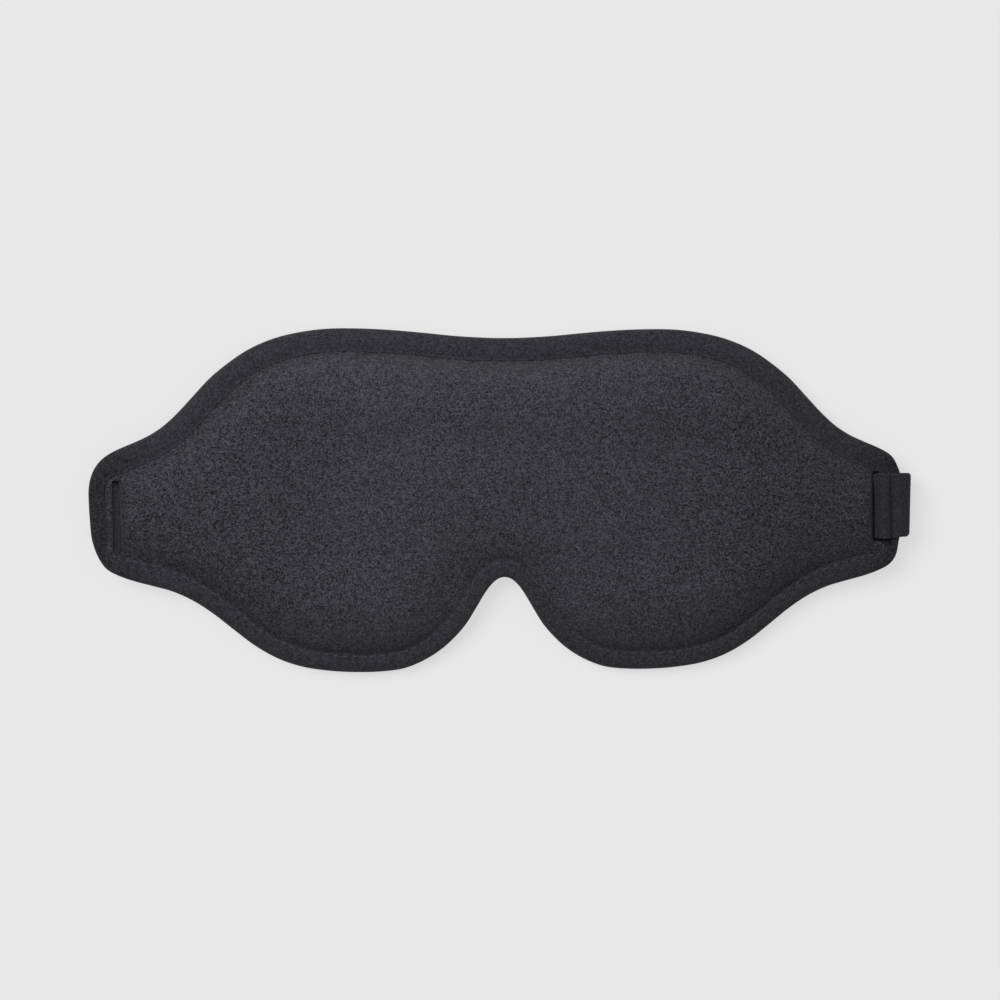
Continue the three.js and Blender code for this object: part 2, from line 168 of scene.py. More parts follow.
def seam_distance(loop, x, y):
    """distance from every point to the loop's polyline."""
    a = loop[::2]
    b = np.roll(a, -1, 0)
    v = b - a
    vv = (v * v).sum(1)
    p = np.column_stack([x.ravel(), y.ravel()])
    out = np.empty(len(p))
    for i in range(0, len(p), 2000):
        q = p[i:i + 2000, None, :] - a[None]
        t = np.clip((q * v).sum(2) / vv, 0, 1)
        out[i:i + 2000] = np.sqrt(((q - t[..., None] * v) ** 2).sum(2).min(1))
    return out.reshape(x.shape)


STRAP_Y, SLOPE = -3.6, math.atan(2.4 / 230)


def strap_y(x):
    return STRAP_Y + math.tan(SLOPE) * x


# ------------------------------------------------------------------ shared high grid of the padded body
UNDER = 1.6                                # sheets run this far under the binding
shell = outer + norm_in * (width - UNDER)[:, None]
XE_L, XE_R = 118.7, float(shell[:, 0].max()) - 0.12
SLOT_L0, SLOT_L1 = -115.5, -113.5
SLOT_R0, SLOT_R1 = 111.9, 114.9
gx = np.concatenate([-np.arange(110.3, XE_L, 0.25)[::-1], np.linspace(-110, 110, 276), np.arange(110.3, XE_R - 0.1, 0.25), [XE_R]])
gx[0] = -XE_L
NC, NR = len(gx), 111
tau = np.linspace(0, 1, NR)
tv = 0.45 * tau + 0.55 * 0.5 * (1 - np.cos(np.pi * tau))
gt, gb = crossings(shell, gx, True), crossings(shell, gx, False)
assert np.isfinite(gt).all() and np.isfinite(gb).all()
it, ib = crossings(inner, gx, True), crossings(inner, gx, False)
GX = np.repeat(gx[:, None], NR, 1)
GY = gb[:, None] + (gt - gb)[:, None] * tv[None]
SLANT = np.clip((6.0 - GY) / 21.6, 0, 1)
GX = GX + SLANT * np.interp(gx, [-118.6, SLOT_L0, SLOT_L1, -109.5], [0, 0.35, 0.75, 0])[:, None]
INSIDE = (GY < it[:, None]) & (GY > ib[:, None])
INSIDE &= ~np.isnan(it)[:, None]
D = np.where(INSIDE, seam_distance(inner, GX, GY), 0.0)


def blur(a, n):
    for _ in range(n):
        b = a.copy()
        b[1:-1] = (a[:-2] + 2 * a[1:-1] + a[2:]) / 4
        c = b.copy()
        c[:, 1:-1] = (b[:, :-2] + 2 * b[:, 1:-1] + b[:, 2:]) / 4
        a = c
    return a


def relief(x, y):
    """free height of the stuffed front, before it is pulled down at the seams."""
    ax = np.abs(x)
    c = 12.4 - 1.2 * sm((ax - 82) / 26)
    c = c + 0.45 * np.exp(-((ax - 86) / 8) ** 2 - (y / 20) ** 2)
    c = c + 0.8 * np.exp(-((y - 28) / 8) ** 2) * sm((90 - ax) / 30)
    c = c - 0.85 * np.exp(-((y - 15) / 7) ** 2) * sm((72 - ax) / 30)
    r2 = (ax - 50) ** 2 + (y * 1.02) ** 2
    c = c - np.where(x < 0, 2.5, 2.4) * np.exp(-r2 / (2 * 17.5 ** 2))
    c = c + 0.45 * np.exp(-((ax - 47) / 26) ** 2 - ((y + 29) / 7) ** 2)
    c = c + 0.7 * np.exp(-(x / 15) ** 2 - ((y - 7) / 14) ** 2) - 1.5 * np.exp(-(x / 16) ** 2 - ((y + 7) / 12) ** 2)
    c = c - 3.6 * np.exp(-((ax - 15) / 9) ** 2 - ((y + 27) / 11) ** 2)
    return c


base_f = edge_z(GX, GY) + 1.22


def slot_left(y):
    k = np.clip((6.0 - y) / 21.6, 0, 1)
    return SLOT_L0 + 0.35 * k, SLOT_L1 + 0.75 * k


def front_height():
    k = 0.30 - 0.14 * sm((np.abs(GX) - 48) / 20) + 0.28 * sm((GY - 2) / 14)
    g = k * (1 - (1 - np.clip(D / 7.5, 0, 1)) ** 2) + (1 - k) * (1 - (1 - np.clip(D / 16.5, 0, 1)) ** 2)
    sl0, sl1 = slot_left(GY)
    dl = np.clip((GX - sl1) / 4.2, 0, 1)
    dr = np.clip((SLOT_R0 - GX) / 2.6, 0, 1)
    e = (1 - (1 - dl) ** 2.2) * (1 - (1 - dr) ** 2.2)
    z = base_f + (relief(GX, GY) - base_f) * g * (0.16 + 0.84 * e)
    span_l = sm((10.9 - np.abs(GY - strap_y(-114.5))) / 1.2)
    span_r = sm((10.6 - np.abs(GY - strap_y(113.5))) / 1.2)
    tuck = span_l * np.clip(1 - (GX - sl1) / 0.8, 0, 1) ** 2 * (GX > sl1 - 0.4) + span_r * np.clip(1 - (SLOT_R0 - GX) / 0.9, 0, 1) ** 2 * (GX < SLOT_R0 + 0.4)
    z = z - 0.9 * tuck * np.clip(D / 1.0, 0, 1)
    ridge = 1 - ((GX - (sl0 - 1.0)) / 1.1) ** 2
    left_lip = base_f - 0.25 + 0.95 * np.clip(ridge, -0.3, 1)
    z = np.where(GX < sl0 + 0.1, z + (left_lip - z) * span_l, z)
    z = np.where(GX > SLOT_R1 - 0.9, z + (base_f + 0.35 * np.clip(D / 1.2, 0, 1) - z) * span_r, z)
    return z


FRONT = front_height()


def back_height():
    base = edge_z(GX, GY) - 0.85
    c = 1 - sm((np.abs(GY - strap_y(GX)) - 17) / 9)
    ceil = np.where(np.abs(GX) < 24, 6.3 + 0.3 * sm((np.abs(GX) - 12) / 12), 6.6)
    target = 0.25 + (ceil - 0.25) * c
    k = 1 - (1 - np.clip(D / 5.0, 0, 1)) ** 2
    z = base + (target - base) * k * np.clip((112.6 - np.abs(GX)) / 6, 0, 1)
    return np.minimum(blur(z, 3), FRONT - 1.6)


BACK = back_height()


# ------------------------------------------------------------------ helpers
def add_mesh(name, verts, faces, uv=None, smooth=True):
    """verts in millimetres from the nose point; uv one pair per vertex."""
    me = bpy.data.meshes.new(name)
    v = np.asarray(verts, float).copy()
    v[:, 1] -= Y0
    me.from_pydata((v * MM).tolist(), [], faces if isinstance(faces, list) else faces.tolist())
    if uv is not None:
        layer = me.uv_layers.new(name="UVMap")
        idx = np.empty(len(me.loops), int)
        me.loops.foreach_get("vertex_index", idx)
        layer.data.foreach_set("uv", np.asarray(uv, float)[idx].ravel())
    if smooth:
        me.polygons.foreach_set("use_smooth", np.ones(len(me.polygons), bool))
    me.update()
    ob = bpy.data.objects.new(name, me)
    bpy.context.scene.collection.objects.link(ob)
    return ob


def grid_faces(nc, nr, keep=None, flip=False):
    i, j = np.meshgrid(np.arange(nc - 1), np.arange(nr - 1), indexing="ij")
    a = i * nr + j
    f = np.stack([a, a + nr, a + nr + 1, a + 1], -1).reshape(-1, 4)
    if keep is not None:
        f = f[keep.ravel()]
    return f[:, ::-1] if flip else f


def slot_keep(half_left, half_right):
    cx = (GX[:-1, :-1] + GX[1:, 1:]) / 2
    cy = (GY[:-1, :-1] + GY[1:, 1:]) / 2
    l0, l1 = slot_left(cy)
    left = (cx > l0) & (cx < l1) & (np.abs(cy - strap_y(-114.5)) < half_left)
    right = (cx > SLOT_R0) & (cx < SLOT_R1) & (np.abs(cy - strap_y(113.5)) < half_right)
    return ~(left | right)


def solid_sheet(name, zt, zb, keep=None):
    """closed sheet between two height fields on the shared grid, with walls round its edges and slots."""
    nc, nr = zt.shape
    x, y = GX[:nc, :nr] if zt.shape == GX.shape else None, GY
    n = nc * nr
    v = np.vstack([np.column_stack([GX.ravel(), GY.ravel(), zt.ravel()]), np.column_stack([GX.ravel(), GY.ravel(), zb.ravel()])])
    top = grid_faces(nc, nr, keep)
    bottom = grid_faces(nc, nr, keep, flip=True) + n
    edges = {}
    for f in top.tolist():
        for k in range(4):
            a, b = f[k], f[(k + 1) % 4]
            if (b, a) in edges:
                del edges[(b, a)]
            else:
                edges[(a, b)] = True
    walls = np.array([[a, a + n, b + n, b] for a, b in edges], int)
    faces = np.vstack([top, bottom, walls])
    used = np.unique(faces)
    remap = np.full(2 * n, -1)
    remap[used] = np.arange(len(used))
    ob = add_mesh(name, v[used], remap[faces])
    return ob


def modifier_apply(ob):
    dg = bpy.context.evaluated_depsgraph_get()
    ev = ob.evaluated_get(dg)
    me = bpy.data.meshes.new_from_object(ev)
    ob.modifiers.clear()
    old = ob.data
    ob.data = me
    bpy.data.meshes.remove(old)
    return ob


# ------------------------------------------------------------------ cloth simulation of the stuffed front
def simulate_front():
    """the knit cover is sewn down at the seam, stretched over the pad and held softly by uneven stuffing.

    solved ten times larger than life, where the cloth solver's units behave; the result is in millimetres.
    """
    big = 10.0
    ci, ri = np.arange(0, NC, 3), np.arange(0, NR, 2)
    X, Y, Z = GX[np.ix_(ci, ri)], GY[np.ix_(ci, ri)], FRONT[np.ix_(ci, ri)]
    DD = D[np.ix_(ci, ri)]
    ob = add_mesh("sim_front", np.column_stack([X.ravel(), Y.ravel(), Z.ravel()]) * big, grid_faces(len(ci), len(ri)))
    held = ((DD < 1.0) | (np.abs(X) > 108)).ravel()
    r = np.random.default_rng(5)
    lump = sum(r.normal() * np.sin((X * math.cos(a) + Y * math.sin(a)) / 9.5 + r.uniform(0, 6.28)) for a in r.uniform(0, 3.14, 9)).ravel()
    soft = np.clip(0.3 * (1 + 0.35 * lump), 0.05, 0.9)
    grp = ob.vertex_groups.new(name="pin")
    for k, (fixed, w) in enumerate(zip(held.tolist(), soft.tolist())):
        grp.add([k], 1.0 if fixed else w, "REPLACE")
    mod = ob.modifiers.new("Cloth", "CLOTH")
    s = mod.settings
    s.quality = 5
    s.mass = 0.02
    s.tension_stiffness = 18
    s.compression_stiffness = 10
    s.shear_stiffness = 5
    s.bending_stiffness = 5
    s.tension_damping = 5
    s.compression_damping = 5
    s.air_damping = 5
    s.use_pressure = True
    s.uniform_pressure_force = 3
    s.vertex_group_mass = "pin"
    s.pin_stiffness = 1.0
    s.shrink_min = 0.006
    s.effector_weights.gravity = 0
    mod.collision_settings.use_self_collision = False
    mod.collision_settings.use_collision = False
    mod.point_cache.frame_start = 1
    mod.point_cache.frame_end = 20
    sc = bpy.context.scene
    for f in range(1, 19):
        sc.frame_set(f)
    me = bpy.data.meshes.new_from_object(ob.evaluated_get(bpy.context.evaluated_depsgraph_get()))
    co = np.empty(len(me.vertices) * 3)
    me.vertices.foreach_get("co", co)
    bpy.data.meshes.remove(me)
    bpy.data.objects.remove(ob)
    sc.frame_set(1)
    dz = co.reshape(-1, 3)[:, 2].reshape(Z.shape) / MM / big - Z
    assert np.isfinite(dz).all()
    return ci, ri, dz


def upsample(ci, ri, a):
    b = np.empty((NC, a.shape[1]))
    for j in range(a.shape[1]):
        b[:, j] = np.interp(np.arange(NC), ci, a[:, j])
    c = np.empty((NC, NR))
    for i in range(NC):
        c[i] = np.interp(np.arange(NR), ri, b[i])
    return c


ci, ri, dz = simulate_front()
print("cloth simulation moved the front by (mm)", round(float(dz.min()), 3), round(float(dz.max()), 3))
fine = upsample(ci, ri, dz)
slow = blur(fine, 60)
puckers = blur(fine - slow, 3)
fade = np.clip(D / 1.5, 0, 1) * sm((112 - np.abs(GX)) / 6)
FRONT = FRONT + (0.8 * puckers + 0.4 * np.tanh(slow / 0.8)) * fade
assert np.isfinite(FRONT).all() and np.isfinite(BACK).all()

# the narrow strip of cover outside the left slot is rolled, lumpy and pulled down beside the binding
left_edge = slot_left(GY)[0]
strip = np.exp(-((GX - left_edge + 1.15) / 0.8) ** 2) * sm((10.6 - np.abs(GY)) / 1.5)
lumps = np.sin(GY * 2.1 + 0.6) * 0.5 + np.sin(GY * 3.7 + 1.9) * 0.35 + np.sin(GY * 5.9) * 0.25
FRONT = FRONT + strip * (0.22 + 0.17 * lumps)
FRONT = FRONT - 0.55 * np.exp(-(D / 0.75) ** 2) * sm((-GX - 114.5) / 1.5) * sm((11.0 - np.abs(GY)) / 2.0)

# ------------------------------------------------------------------ the padded layers
COVER_T, LINING_T = 0.6, 0.5
front_panel = solid_sheet("mask_front_panel", FRONT, FRONT - COVER_T, slot_keep(10.8, 10.7))
back_lining = solid_sheet("mask_back_lining", BACK + LINING_T, BACK, slot_keep(9.5, 9.5))


def coarse(i0, i1, j0, j1, step_i, step_j):
    return np.arange(i0, i1 + 1, step_i), np.arange(j0, j1 + 1, step_j)


def inner_layer(name, zt, zb, i0, i1, j0, j1, si=3, sj=3):
    """a closed layer on a coarser part of the same grid."""
    ci, ri = coarse(i0, i1, j0, j1, si, sj)
    X, Y = GX[np.ix_(ci, ri)], GY[np.ix_(ci, ri)]
    T, B = zt[np.ix_(ci, ri)], zb[np.ix_(ci, ri)]
    nc, nr = X.shape
    n = nc * nr
    v = np.vstack([np.column_stack([X.ravel(), Y.ravel(), T.ravel()]), np.column_stack([X.ravel(), Y.ravel(), B.ravel()])])
    top, bottom = grid_faces(nc, nr), grid_faces(nc, nr, flip=True) + n
    w = []
    for i in range(nc - 1):
        a, b = i * nr, (i + 1) * nr
        w += [[a + n, b + n, b, a], [b + nr - 1 + n, a + nr - 1 + n, a + nr - 1, b + nr - 1]]
    for j in range(nr - 1):
        a, c = j, (nc - 1) * nr + j
        w += [[a + 1 + n, a + n, a, a + 1], [c + n, c + 1 + n, c + 1, c]]
    return add_mesh(name, v, np.vstack([top, bottom, np.array(w)]))


under = FRONT - COVER_T - 0.15
over = BACK + LINING_T + 0.15
i92 = int(np.searchsorted(gx, 92))
blackout = inner_layer("mask_blackout_sheet", np.minimum(over + 0.3, under - 0.1), np.minimum(over, under - 0.3), int(np.searchsorted(gx, -110.5)), int(np.searchsorted(gx, 108.5)), 3, NR - 4)
foam_top = under
foam_bot = np.minimum(over + 0.45, under - 0.25)
foam = inner_layer("mask_foam_core", foam_top, foam_bot, NC - 1 - i92, i92, 12, NR - 13)

# ------------------------------------------------------------------ folded binding
def spline_open(p, n):
    p = np.asarray(p, float)
    q = np.vstack([2 * p[0] - p[1], p, 2 * p[-1] - p[-2]])
    out = []
    for i in range(1, len(q) - 2):
        t = np.linspace(0, 1, 12, endpoint=False)[:, None]
        a, b, c, d = q[i - 1], q[i], q[i + 1], q[i + 2]
        out.append(0.5 * ((2 * b) + (-a + c) * t + (2 * a - 5 * b + 4 * c - d) * t ** 2 + (-a + 3 * b - 3 * c + d) * t ** 3))
    out.append(q[-2][None])
    o = np.vstack(out)
    s = np.concatenate([[0], np.cumsum(np.linalg.norm(np.diff(o, axis=0), axis=1))])
    u = np.linspace(0, s[-1], n)
    return np.column_stack([np.interp(u, s, o[:, k]) for k in range(o.shape[1])])


W0 = 7.0       # the profile is drawn for a 7 mm binding and fitted to the local width
leg = [(W0, 1.0), (W0 - 0.02, 1.24), (W0 - 0.14, 1.4), (W0 - 0.4, 1.47), (W0 - 0.95, 1.46), (W0 - 1.5, 1.62), (W0 - 2.3, 1.78), (W0 - 3.4, 1.86), (2.6, 1.84), (1.7, 1.74), (0.95, 1.5), (0.4, 1.08), (0.1, 0.55), (0.0, 0.0)]
low = [(u, -z) for u, z in reversed(leg[:-1])]
outside = spline_open(leg + low, 51)
back_in = spline_open([(W0 - 0.25, -0.92), (4.0, -0.92), (1.6, -0.92), (1.1, -0.5), (1.0, 0), (1.1, 0.5), (1.6, 0.92), (4.0, 0.92), (W0 - 0.25, 0.92)], 14)
prof = np.vstack([outside, back_in])


def ring_noise(n, waves, seed):
    r = np.random.default_rng(seed)
    s = np.arange(n) / n * 2 * np.pi
    a = np.zeros(n)
    for k in waves:
        a += r.normal() * np.cos(k * s + r.uniform(0, 2 * np.pi)) / math.sqrt(len(waves))
    return a


PITCH = 2.9
N_ST = int(round(PERIM / PITCH))
phase = np.arange(NL) / NL * N_ST                     # one unit per stitch
lift1 = ring_noise(NL, range(20, 90), 5)
lift2 = ring_noise(NL, range(90, 230), 6)
side1 = ring_noise(NL, range(12, 60), 7)


def fit_u(u, w):
    """keeps the fold and the stitched lip at their own size and stretches the flat between them."""
    lo, hi = 2.2, W0 - 1.9
    flat = w - W0
    return np.where(u <= lo, u, np.where(u >= hi, u + flat, u + flat * (u - lo) / (hi - lo)))


def binding_mesh():
    m = len(prof)
    U = np.empty((NL, m)); Z = np.empty((NL, m))
    for k, (u, z) in enumerate(prof):
        U[:, k] = fit_u(np.full(NL, u), width)
        Z[:, k] = z
    vis = np.arange(m) < len(outside)
    upper = prof[:, 1] > 0.3
    mid = np.exp(-((prof[:, 0] - 3.6) / 1.8) ** 2) * vis
    lip = np.exp(-((prof[:, 0] - (W0 - 0.95)) / 0.28) ** 2) * vis
    bulge = np.exp(-((prof[:, 0] - (W0 - 2.0)) / 0.8) ** 2) * vis
    sgn = np.sign(prof[:, 1])
    pull = 0.5 - 0.5 * np.cos(2 * np.pi * phase)      # 0 at a stitch's ends, 1 at its middle
    Z += sgn * mid * (0.10 * lift1[:, None] + 0.05 * lift2[:, None])
    Z -= sgn * lip * 0.10 * (1 - pull[:, None])
    Z -= sgn * bulge * 0.06 * (1 - pull[:, None])
    U += 0.08 * side1[:, None] * (prof[:, 0] / W0)[None] * vis
    P = outer[:, None, :] + norm_in[:, None, :] * U[..., None]
    z = edge_z(P[..., 0], P[..., 1]) + Z
    v = np.column_stack([P[..., 0].ravel(), P[..., 1].ravel(), z.ravel()])
    i, k = np.meshgrid(np.arange(NL), np.arange(m), indexing="ij")
    a = i * m + k
    b = i * m + (k + 1) % m
    c = ((i + 1) % NL) * m + (k + 1) % m
    d = ((i + 1) % NL) * m + k
    f = np.stack([a, b, c, d], -1).reshape(-1, 4)
    arc = np.arange(NL) * STEP / 10
    run = np.concatenate([[0], np.cumsum(np.linalg.norm(np.diff(prof, axis=0), axis=1))]) / 10
    uv = np.column_stack([np.repeat(arc, m), np.tile(run, NL)])
    return add_mesh("mask_edge_binding", v, f[:, ::-1], uv)


binding = binding_mesh()


def press_binding(ob):
    """the strap loop pulls a shallow groove into the binding where it crosses it."""
    co = np.empty(len(ob.data.vertices) * 3)
    ob.data.vertices.foreach_get("co", co)
    co = co.reshape(-1, 3)
    x, y, z = co[:, 0] / MM, co[:, 1] / MM + Y0, co[:, 2] / MM
    top = np.clip((z - edge_z(x, y)) / 1.0, 0, 1)
    co[:, 2] -= 0.6 * MM * sm((x - 114.5) / 1.0) * (1 - sm((x - 118.6) / 1.4)) * sm((10.4 - np.abs(y - 0.1)) / 0.9) * top
    ob.data.vertices.foreach_set("co", co.ravel())
    ob.data.update()


press_binding(binding)


# ------------------------------------------------------------------ stitches
def capsule(p, q, up, r, segs=8, flat=0.85, arch=0.0):
    """a rounded thread from p to q, slightly arched along up."""
    p, q, up = map(np.asarray, (p, q, up))
    t = q - p
    L = np.linalg.norm(t)
    t = t / L
    side = np.cross(t, up); side /= np.linalg.norm(side)
    upn = np.cross(side, t)
    rows = []
    for s, k in ((0.0, 0.30), (0.05, 0.68), (0.14, 0.92), (0.3, 1.0), (0.5, 1.0), (0.7, 1.0), (0.86, 0.92), (0.95, 0.68), (1.0, 0.30)):
        c = p + t * L * s + upn * arch * (1 - (2 * s - 1) ** 2)
        a = np.linspace(0, 2 * np.pi, segs, endpoint=False)
        rows.append(c + (np.cos(a)[:, None] * side + np.sin(a)[:, None] * upn * flat) * r * k)
    v = np.vstack(rows)
    f = []
    n = len(rows)
    for i in range(n - 1):
        for j in range(segs):
            a, b = i * segs + j, i * segs + (j + 1) % segs
            f.append([a, b, b + segs, a + segs])
    f.append(list(range(segs))[::-1])
    f.append([(n - 1) * segs + j for j in range(segs)])
    return v, f


def merge(parts):
    vs, fs, n = [], [], 0
    for v, f in parts:
        vs.append(v)
        fs += [[k + n for k in q] for q in f]
        n += len(v)
    return np.vstack(vs), fs


def loop_at(s, u, w_off=None):
    """point on the binding at arc index s (float) and u measured inward from the outer edge."""
    i = np.floor(s).astype(int) % NL
    t = s - np.floor(s)
    o = outer[i] * (1 - t) + outer[(i + 1) % NL] * t
    n = norm_in[i] * (1 - t) + norm_in[(i + 1) % NL] * t
    w = width[i] * (1 - t) + width[(i + 1) % NL] * t
    return o + n * ((w - w_off) if w_off is not None else u)


def seam_stitches(name, sign, radius, wanted, length=1.0, sink=0.0, off0=0.95):
    r = np.random.default_rng(31 if sign > 0 else 32)
    parts = []
    for k in range(N_ST):
        c = (k + 0.5) / N_ST * NL
        p = outer[int(c) % NL]
        shake = r.normal(size=5)
        if not wanted(p[0], p[1]):
            continue
        h = length / STEP * (1 + 0.08 * shake[0])
        off = off0 + 0.05 * shake[1]
        a = loop_at(np.float64(c - h), None, off)
        b = loop_at(np.float64(c + h), None, off + 0.04 * shake[4])
        za, zb = (edge_z(p[0], p[1]) + sign * (1.40 - sink + 0.03 * t) for p, t in ((a, shake[2]), (b, shake[3])))
        parts.append(capsule([*a, za], [*b, zb], [0, 0, sign], radius, arch=0.10))
    v, f = merge(parts)
    return add_mesh(name, v, f)


def under_strap(x, y):
    return x > 117 and abs(y - strap_y(118)) < 12


stitch_brow = seam_stitches("binding_stitches_brow", 1, 0.17, lambda x, y: y > 0 and not under_strap(x, y), 0.85, 0.08, 0.55)
stitch_cheek = seam_stitches("binding_stitches_cheek", 1, 0.19, lambda x, y: y <= 0 and not under_strap(x, y) and not (abs(x) > 116.5 and y > -16), 0.85, 0.02, 0.8)
stitch_back = seam_stitches("binding_stitches_back", -1, 0.2, lambda x, y: not (abs(x) > 117 and abs(y + 3.6) < 14))

# ------------------------------------------------------------------ straps
CS, SN = math.cos(SLOPE), math.sin(SLOPE)


def to_mask(x, y, z):
    return np.stack([x * CS - y * SN, STRAP_Y + x * SN + y * CS, z], -1)


def path_even(path, step):
    p = np.asarray(path, float)
    s = np.concatenate([[0], np.cumsum(np.linalg.norm(np.diff(p, axis=0), axis=1))])
    n = max(3, int(round(s[-1] / step)) + 1)
    u = np.linspace(0, s[-1], n)
    return np.column_stack([np.interp(u, s, p[:, k]) for k in (0, 1)]), u


def bend_path(points, radii, n=10):
    """polyline in the strap's side plane with its corners rounded."""
    p = [np.array(q, float) for q in points]
    out = [p[0]]
    for i in range(1, len(p) - 1):
        r = radii[i - 1]
        a, b, c = p[i - 1], p[i], p[i + 1]
        d0, d1 = (a - b) / np.linalg.norm(a - b), (c - b) / np.linalg.norm(c - b)
        t = np.linspace(0, 1, n)[:, None]
        s, e = b + d0 * r, b + d1 * r
        out += list((1 - t) ** 2 * s + 2 * t * (1 - t) * b + t ** 2 * e)
    out.append(p[-1])
    return np.array(out)


def strap(name, path, y0=-9.7, y1=9.7, thick=1.0, step=0.8, across=44, ribs=0.0, u_start=0.0, wave=0.0, seed=1, skew=None):
    P, u = path_even(path, step)
    T = np.gradient(P, axis=0)
    T /= np.linalg.norm(T, axis=1)[:, None]
    Nn = np.column_stack([-T[:, 1], T[:, 0]])
    ys = np.linspace(y0, y1, across)
    edge = np.clip(np.minimum(ys - y0, y1 - ys) / 0.55, 0, 1)
    prof_t = thick / 2 * np.sqrt(1 - (1 - edge) ** 2 * 0.92)
    r = np.random.default_rng(seed)
    loose = np.convolve(r.normal(size=across + 8), np.ones(9) / 3, "valid")
    rib = ribs * np.cos(2 * np.pi * ys / 0.66 + 0.5 * loose) * edge * np.clip(1 + 0.75 * loose, 0.0, 2.4)
    side_wave = np.zeros(len(u))
    for k in range(1, 5):
        side_wave += r.normal() * np.sin(u / 60 * k + r.uniform(0, 6.28)) * wave / k
    rows = []
    for i in range(len(P)):
        top = np.column_stack([P[i, 0] + Nn[i, 0] * (prof_t + rib), ys + side_wave[i], P[i, 1] + Nn[i, 1] * (prof_t + rib)])
        bot = np.column_stack([P[i, 0] - Nn[i, 0] * (prof_t + rib), ys + side_wave[i], P[i, 1] - Nn[i, 1] * (prof_t + rib)])
        rows.append(np.vstack([top, bot[::-1]]))
    m = 2 * across
    V = np.vstack(rows)
    if skew is not None:
        V = skew(V)
    V = to_mask(V[:, 0], V[:, 1], V[:, 2])
    f = []
    for i in range(len(P) - 1):
        for k in range(m):
            a, b = i * m + k, i * m + (k + 1) % m
            f.append([a, a + m, b + m, b])
    e = (len(P) - 1) * m
    for k in range(across - 1):
        f.append([k, k + 1, m - 2 - k, m - 1 - k])
        f.append([e + k + 1, e + k, e + m - 1 - k, e + m - 2 - k])
    yy = np.concatenate([ys, ys[::-1]])
    uv = np.column_stack([np.repeat((u + u_start) / 10, m), np.tile(yy / 10, len(P))])
    ob = add_mesh(name, V, f, uv)
    for q in ob.data.polygons[(len(P) - 1) * m:]:
        q.use_smooth = False
    return ob


Z_L, Z_M, Z_R = 3.1, 4.4, 0.7
anchor_z = float(edge_z(np.array(115.6), np.array(0.0))) - 1.85 - 0.62
left_tab = strap("strap_left_tab", bend_path([(-119.2, anchor_z), (-116.6, anchor_z + 0.1), (-115.2, 3.7), (-114.0, 4.55), (-113.0, 4.0), (-111.7, Z_L), (-108, Z_L)], [0.8, 0.6, 0.6, 0.6, 0.9]), ribs=0.10, across=180, step=0.3)
left_side = strap("strap_left_side_visual", [(-108, Z_L), (-47, Z_L)], u_start=13)
left_back = strap("strap_left_back_visual", [(-47, Z_L), (12, Z_L)], u_start=74)

rim = float(edge_z(np.array(119.0), np.array(0.0))) + 1.85 + 0.1 + 0.5
loop_path = bend_path([(113.1, 6.3), (113.85, rim + 1.25), (115.65, rim + 1.35), (116.4, rim - 0.55), (118.0, rim - 0.55), (120.1, rim + 0.0), (122.75, rim - 0.35), (122.85, Z_R), (117.8, Z_R)], [0.7, 0.5, 0.5, 0.5, 0.9, 1.7, 2.0])


def rim_fold(V):
    """the fold over the rim is drawn a little askew and its edges curl in."""
    V = V.copy()
    k = sm((V[:, 0] - 117) / 4.5)
    y = V[:, 1]
    corner = np.clip((np.abs(y - 0.27) - 8.6) / 1.15, 0, 1)
    V[:, 0] += k * (0.040 * y - 0.45 * corner ** 2)
    V[:, 1] = y + k * np.where(y < 0, 0.45, -0.05) * np.clip(np.abs(y) / 9.5, 0, 1) ** 3
    return V


right_loop = strap("strap_right_loop_visual", loop_path, y0=-9.75, y1=10.0, ribs=0.045, across=180, step=0.3, seed=4, skew=rim_fold)
right_exit = strap("strap_right_exit", bend_path([(113.1, 6.3), (112.3, 4.9), (111.1, Z_M), (108, Z_M)], [0.6, 0.6]), ribs=0.045, across=180, step=0.4, seed=4)
right_side = strap("strap_right_side_visual", [(108, Z_M), (47, Z_M)])
right_back = strap("strap_right_back_visual", [(47, Z_M), (-12, Z_M)], u_start=61)
right_under = strap("strap_right_under", [(117.8, Z_R), (111, Z_R)])
right_return = strap("strap_right_return_visual", [(111, Z_R), (94.2, Z_R)], u_start=7)
SX = 88.0
fold_path = np.vstack([[(94.2, 0.7), (90.0, 0.68)], [(SX - 0.4 + 1.28 * math.cos(a), 1.9 + 1.25 * math.sin(a)) for a in np.radians(np.linspace(-80, -280, 16))], [(89.6, 3.15), (93.4, 3.14)]])
fold = strap("slider_fold_visual", fold_path, thick=0.78, step=0.4)


# ------------------------------------------------------------------ bar tacks, all zigzag thread
def bartack(name, x, z, up, half=8.6, pitch=0.62, amp=0.5, r=0.13, yc=0.0):
    n = int(2 * half / pitch)
    ys = np.linspace(-half, half, n) + yc
    parts = []
    for k in range(n - 1):
        xa, xb = (x - amp, x + amp) if k % 2 == 0 else (x + amp, x - amp)
        a = to_mask(np.array(xa), np.array(ys[k]), np.array(z))
        b = to_mask(np.array(xb), np.array(ys[k + 1]), np.array(z))
        parts.append(capsule(a, b, [0, 0, up], r, segs=6, arch=0.05))
    v, f = merge(parts)
    return add_mesh(name, v, f)


tack_anchor = bartack("bartack_anchor", -118.2, anchor_z - 0.56, -1)
tack_left_a = bartack("bartack_lap_left", 9.5, Z_L - 0.56, -1)
tack_right_a = bartack("bartack_lap_right", -9.5, Z_M + 0.56, 1)
tack_slider = bartack("bartack_slider_fold", 91.6, 0.7 - 0.44, -1, half=8.2)


